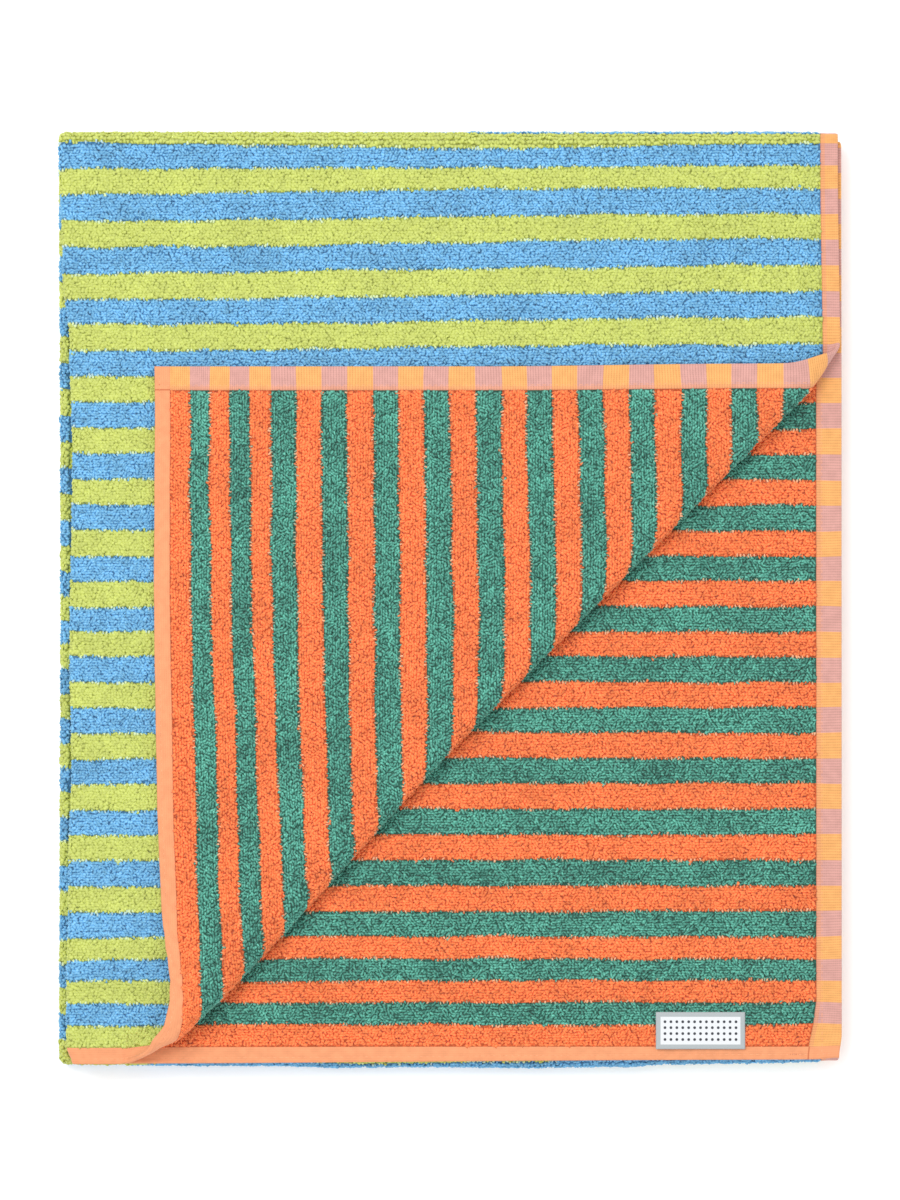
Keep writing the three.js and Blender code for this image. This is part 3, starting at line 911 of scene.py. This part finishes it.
def pile_loops(across, along, face, length, width, height, seed):
    """The loops at those places. Each lies along its row, turned by a soft field and its own chance, tips
    up or down a little, and stands on the ground cloth. At a stripe's edge loops are narrow and point over
    the edge. Returns their points, their triangles and how far each is tipped."""
    draw = np.random.default_rng(seed)
    count = len(across)
    lift = loop_lift + 0.14 * smooth_field(across, along, 7, 31) + draw.normal(0, 0.1, count)
    centre = folded_point(across, along, face * lift)
    sideways, lengthways, outwards = cloth_directions(across, along, face * lift)
    outwards = outwards * face
    at_edge = from_stripe_edge(across, along) < edge_share
    turned = 0.8 * smooth_field(across, along, 9, 32) + draw.normal(0, 0.5, count)
    angle = np.where(at_edge, np.pi / 2 + 0.6 * turned, turned)[:, None]
    length = np.where(at_edge, 0.8 * length, length)[:, None]
    width = np.where(at_edge, 0.6 * width, width)[:, None]
    tip = draw.normal(0, 0.28, count)[:, None]
    level = np.cos(angle) * sideways + np.sin(angle) * lengthways
    heading = np.cos(tip) * level + np.sin(tip) * outwards
    upright = np.cos(tip) * outwards - np.sin(tip) * level
    size = draw.uniform(0.8, 1.2, (3, count, 1))
    points, triangles = blobs(centre, heading, upright, size[0] * length, size[1] * width, size[2] * height)
    points[:, 2] = np.maximum(points[:, 2], floor_gap)
    return points, triangles, np.sin(tip[:, 0])


def blob_map(tone, tipped):
    """Each blob's map places: from foot to crown to the right, which the yarn's colours turn into painted
    shade at the foot and a painted highlight at the crown, further at the end that is tipped up, so that end
    takes more painted light, and its own tone up the map."""
    # Painted light: further right is lighter, and the end tipped up is pushed right.
    right = np.array([0.92, 0.62, 0.20, 0.28, 0.14, 0.08])
    right = right + tipped[:, None] * np.array([0.3, -0.5, 0.1, 0.1, -0.1, -0.1])
    up = tone[:, None] + np.array([0.012, -0.012, 0.012, 0.008, -0.008, -0.012])
    return np.stack([np.clip(right, 0.02, 0.98), up], axis=-1).reshape(-1, 2)


def loop_tones(across, along, seed):
    """Each loop's own tone, light or dark, which also drifts over the cloth. Loops near a stripe's edge may
    take the mixed tone at the top of the map."""
    draw = np.random.default_rng(seed)
    count = len(across)
    tone = 0.46 + draw.normal(0, 0.17, count) + 0.08 * smooth_field(across, along, 60, 33)
    tone = tone + 0.07 * smooth_field(across, along, 14, 34)
    mixed = draw.uniform(0, 1, count) < 0.5 * (from_stripe_edge(across, along) < mixed_share)
    return np.where(mixed, 0.95, np.clip(tone, 0.03, 0.87))


def loop_tone():
    """A loop's colour: its root colour at the foot, which is painted shade of the gaps between loops (for
    lime, painted light bounced into them), then the yarn's colour, paler at its crown as a painted highlight,
    and darker or lighter by its own tone times the contrast. At the top of the map it is the mixed fuzz of two
    stripes."""
    inputs = {title: "Color" for title in ("Root shading", "Yarn", "Crown shading", "Mixed")}
    group, given, made = new_group("loop_tone", {**inputs, "Contrast": "Float"}, {"Color": "Color"})
    right, up = map_place(group)
    # Painted light and shade: from the root's shade at the foot to the crown's highlight at the top.
    yarn = mix_colours(group, map_range(right, 0.0, 0.5), given.outputs["Root shading"], given.outputs["Yarn"])
    yarn = mix_colours(group, map_range(right, 0.5, 1.0), yarn, given.outputs["Crown shading"])
    light = (up - 0.46) * given.outputs["Contrast"] + 1.0
    colour = mix_colours(group, up > 0.91, shaded(group, yarn, light), given.outputs["Mixed"])
    feed(made.inputs["Color"], colour)
    return group


tone_group = loop_tone()


def yarn_material(name, colours, contrast):
    """Soft, matt cotton loops in one yarn's colours."""
    material, tree, shader = new_material(name, 0.9, 0.12, 0.1)
    values = [tinted(*colour) for colour in colours] + [contrast]
    tones = add_node(tree, "ShaderNodeGroup", values, node_tree=tone_group)
    feed(shader.inputs["Base Color"], tones.outputs[0])
    return material


# Each yarn's colours at a loop's root, body and crown and in the mixed fuzz, and its contrast. The root colour
# is painted shade between the loops, lighter for lime as painted bounced light, and the crown colour is a
# painted highlight.
yarn_looks = {
    "lime": (((210, 216, 96), (193, 202, 107), (198, 208, 119), (212, 228, 178)), 0.3),
    "blue": (((76, 137, 184), (109, 172, 214), (138, 194, 227), (184, 214, 218)), 0.55),
    "orange": (((226, 102, 57), (242, 129, 77), (245, 142, 88), (240, 182, 142)), 0.5),
    "green": (((44, 99, 86), (79, 148, 131), (108, 179, 161), (168, 178, 152)), 1.15),
}
yarns = {yarn: yarn_material(yarn + "_yarn", *looks) for yarn, looks in yarn_looks.items()}


def make_pile(name, yarn, places, face, loop_size, seed):
    """One piece of loops of one yarn: those places whose stripe has that yarn, with a little chance at the
    stripes' edges."""
    across, along = places
    chance = np.random.default_rng(seed).normal(0, 0.03, len(across))
    odd = np.floor(stripe_number(across, along) + chance).astype(int) % 2 == 1
    here = odd if yarn in ("blue", "green") else ~odd
    across, along = across[here], along[here]
    points, triangles, tipped = pile_loops(across, along, face, *loop_size, seed + 1)
    loop_map = blob_map(loop_tones(across, along, seed + 2), tipped)
    piece = make_piece(name, points, triangles, loop_map[triangles], yarns[yarn])
    return piece


# A loop's length, width and height for each yarn. Loose yarns cover more, and twisted ones stand higher. The
# loops underneath are fewer and larger, because only their outline shows.
top_sizes = {
    "lime": (2.4, 2.7, 0.9), "blue": (2.4, 2.1, 1.15), "orange": (2.4, 2.0, 1.15), "green": (2.3, 1.75, 1.2),
}
under_size = (5.0, 2.9, 1.5)

whole_width = (-across_edge, across_edge)
places = loop_places(whole_width, (0, along_edge), loop_pitch, row_pitch, 11, shows_on_front)
for seed, yarn in ((100, "lime"), (110, "blue")):
    make_pile("pile_" + yarn, yarn, places, 1, top_sizes[yarn], seed)
across, along = loop_places(whole_width, (0, top_fold_start), loop_pitch, row_pitch, 12, shows_on_back)
for layer, here, layer_seed in (("turned", across > 0, 120), ("second", across < 0, 160)):
    places = (across[here], along[here])
    for yarn, seed in (("orange", layer_seed), ("green", layer_seed + 10)):
        make_pile(f"pile_{layer}_{yarn}", yarn, places, -1, top_sizes[yarn], seed)
places = loop_places((-across_edge, -left_fold_reach), (bottom_fold_end, along_edge), under_loop_pitch,
                     under_row_pitch, 13, shows_underneath)
for seed, yarn in ((140, "lime"), (150, "blue")):
    make_pile("pile_under_" + yarn, yarn, places, 1, under_size, seed)

# The hems' stitches
# Each hem is sewn down with one row of cotton lockstitch in peach thread, a little way in from where its
# edge is turned under. Each stitch lies pressed into the hem between the two holes that it goes down
# through.

stitch_pitch = 3.1
stitch_length = 2.3
stitch_width = 0.5
stitch_height = 0.34


def stitches(across, along, face, runs_along):
    """One row of stitches on a hem's surface, as long, low blobs headed along the cloth or across it."""
    lift = face * hem_surface(across, along, face)
    sideways, lengthways, outwards = cloth_directions(across, along, lift)
    heading = lengthways if runs_along else sideways
    return blobs(folded_point(across, along, lift), heading, outwards * face, stitch_length, stitch_width,
                 stitch_height)


beside_fold = np.arange(4, top_fold_start - 6, stitch_pitch)
side_level = np.full(len(beside_fold), across_edge - (back_side_hem - side_seam_inset))
end_places = np.arange(14, across_edge - 3, stitch_pitch)
end_level = np.full(len(end_places), end_seam_inset)
seams = [
    stitches(side_level, beside_fold, -1, True),
    stitches(-side_level, beside_fold, -1, True),
    stitches(end_places, end_level, -1, False),
    stitches(-end_places, end_level, -1, False),
    stitches(end_places, end_level, 1, False),
    stitches(-end_places, along_edge - end_level, 1, False),
]
seam_points = np.concatenate([points for points, _ in seams])
stitch_count = len(seam_points) // 6
seam_triangles = (blob_triangles[None] + 6 * np.arange(stitch_count)[:, None, None]).reshape(-1, 3)
stitch_tones = np.random.default_rng(160).uniform(0.25, 0.7, stitch_count)
seam_places = blob_map(stitch_tones, np.zeros(stitch_count))
# The thread's root and crown colours are painted shade at each stitch's foot and a painted highlight on its
# crown.
thread_colours = ((206, 128, 88), (236, 164, 122), (246, 184, 146), (236, 164, 122))
thread = yarn_material("peach_thread", thread_colours, 0.3)
stitching = make_piece("hem_stitches", seam_points, seam_triangles, seam_places[seam_triangles], thread)

# The woven label
# A small label of fine polyester, woven in pale grey with a white panel and small dark dots, its ends folded
# under. It is sewn beside the plain hem of the second layer, which the turned corner leaves bare.

# It lies where its solid is, but for a little lower down the page and a little wider, as in the photograph.
label_low, label_high = (np.array(corner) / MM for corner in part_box("label"))
label_low += (-0.4, -1.6, 0)
label_high += (1.3, -1.6, 0)
label_thickness = 0.7
label_gap = 0.3
label_border = 2.4
label_dot_pitch = 3.0
label_lift = 0.6
label_lift_reach = 0.6
label_ripple = 0.1


def label_surface(face):
    """One face of the label: a grid over its box, on the settled second layer, thinner at the edges and
    lifted a little at its lower left corner. Returns its points and the grid's shares across and along."""
    across, along = np.meshgrid(np.linspace(0, 1, 61), np.linspace(0, 1, 29), indexing="ij")
    x = label_low[0] + (label_high[0] - label_low[0]) * across
    y = label_low[1] + (label_high[1] - label_low[1]) * along
    from_edge = np.minimum(np.minimum(x - label_low[0], label_high[0] - x),
                           np.minimum(y - label_low[1], label_high[1] - y))
    half = label_thickness / 2 * (0.35 + 0.65 * np.sqrt(np.clip(from_edge / 0.9, 0, 1)))
    rest = settle_height(x - centring, y, np.full_like(x, top_layer_height - layer_pitch + half_pile))
    lifted = label_lift * ease(1 - np.hypot(across, 2 * along) / label_lift_reach)
    ripple = label_ripple * smooth_field(x, y, 21, 35)
    z = rest + label_gap + label_thickness / 2 + lifted + ripple + face * half
    return np.stack([x, y, z], axis=-1).reshape(-1, 3), across, along


def label_material():
    """Satin-smooth fine weave: a pale grey border, a white panel inside it and rows of small dark dots."""
    material, tree, shader = new_material("woven_label", 0.6, 0.3, 0.05)
    right, up = map_place(tree)
    back = right > 0.5
    width, height = (float(side) for side in (label_high - label_low)[:2])
    across = (right - back * 0.5) * (2 * width)
    along = up * height
    from_edge = math_node("MINIMUM", math_node("MINIMUM", across, width - across),
                          math_node("MINIMUM", along, height - along))
    panel = map_range(from_edge, label_border - 0.12, label_border + 0.12)
    from_dot = []
    for distance, size in ((across, width), (along, height)):
        dot_count = np.floor((size - 2 * label_border - 1.2) / label_dot_pitch)
        margin = (size - dot_count * label_dot_pitch) / 2
        from_dot.append(math_node("FRACT", (distance - margin) / label_dot_pitch) - 0.5)
    radius = math_node("SQRT", from_dot[0] * from_dot[0] + from_dot[1] * from_dot[1])
    inside = map_range(from_edge, label_border + 0.5, label_border + 0.6)
    dot = map_range(radius, 0.27, 0.21) * inside * (1.0 - back)
    colour = mix_colours(tree, panel, tinted(170, 177, 179), tinted(222, 225, 228))
    colour = mix_colours(tree, dot, colour, tinted(60, 62, 70))
    threads = add_node(tree, "ShaderNodeGroup", (across * 2.6, along * 3.4), node_tree=weave)
    feed(shader.inputs["Base Color"], shaded(tree, colour, threads.outputs["Shade"], 0.35))
    add_bump(tree, shader, threads.outputs["Height"], 0.35, 0.1)
    return material


# The label's map has its front on the left half and its back on the right, and its rim shows the front's
# border.
label_middle = np.array([0.25, 0.5])
label_rim_size = 0.96

label_front, label_across, label_along = label_surface(1)
label_back = label_surface(-1)[0]
label_corner = cell_corners(*label_across.shape)
label_columns = label_across.shape[1]
label_top = np.concatenate([
    np.stack([label_corner, label_corner + label_columns, label_corner + label_columns + 1], axis=-1),
    np.stack([label_corner, label_corner + label_columns + 1, label_corner + 1], axis=-1),
])
label_map = np.stack([label_across / 2, label_along], axis=-1).reshape(-1, 2)
label_rim_map = label_middle + label_rim_size * (label_map - label_middle)
label = make_piece("woven_label", *closed_sheet(label_front, label_back, label_top, label_map,
                                                label_map + (0.5, 0), label_rim_map), label_material())
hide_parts("label")

# The floor, the light and the camera
# A plain pale floor under soft studio light from all round and a little from the upper left. The camera looks
# straight down with a long lens, as in the photograph.

floor_half = 3.0
floor_corners = [(floor_half * x, floor_half * y, 0) for x, y in ((-1, -1), (1, -1), (1, 1), (-1, 1))]
floor_mesh = bpy.data.meshes.new("floor")
floor_mesh.from_pydata(floor_corners, [], [(0, 1, 2, 3)])
floor_material, floor_tree, floor_shader = new_material("pale_floor", 0.7, 0.2, 0.0)
floor_shader.inputs["Base Color"].default_value = (0.9, 0.9, 0.9, 1)
floor_shader.inputs["Emission Color"].default_value = (1, 1, 1, 1)
floor_shader.inputs["Emission Strength"].default_value = 0.2
floor_mesh.materials.append(floor_material)
floor = bpy.data.objects.new("floor", floor_mesh)
bpy.context.scene.collection.objects.link(floor)

world = bpy.data.worlds.new("studio")
world.use_nodes = True
world.node_tree.nodes["Background"].inputs["Color"].default_value = (1, 1, 1, 1)
world.node_tree.nodes["Background"].inputs["Strength"].default_value = 0.87
bpy.context.scene.world = world
bpy.context.scene.view_settings.view_transform = "Standard"


def add_soft_light(name, place, size, power):
    """A square soft light that faces the towel."""
    data = bpy.data.lights.new(name, "AREA")
    data.size = size
    data.energy = power
    light = bpy.data.objects.new(name, data)
    light.location = place
    light.rotation_euler = (-light.location).to_track_quat("-Z", "Y").to_euler()
    bpy.context.scene.collection.objects.link(light)


add_soft_light("key_light", (-0.8, 0.9, 2.2), 1.3, 32)
add_soft_light("fill_light", (1.2, -0.8, 1.8), 1.8, 6)

# The lens shows as much of the towel's top, from the upper edge to the lower one, as the photograph does.
camera_height = 3.0
photo_height = 608.4 * MM
sensor_size = 36
camera_data = bpy.data.cameras.new("camera")
camera_data.sensor_width = sensor_size
camera_data.lens = sensor_size * (camera_height - top_layer_height * MM) / photo_height
camera = bpy.data.objects.new("camera", camera_data)
camera.location = (0, -0.0005, camera_height)
bpy.context.scene.collection.objects.link(camera)
bpy.context.scene.camera = camera

along_edge * MM
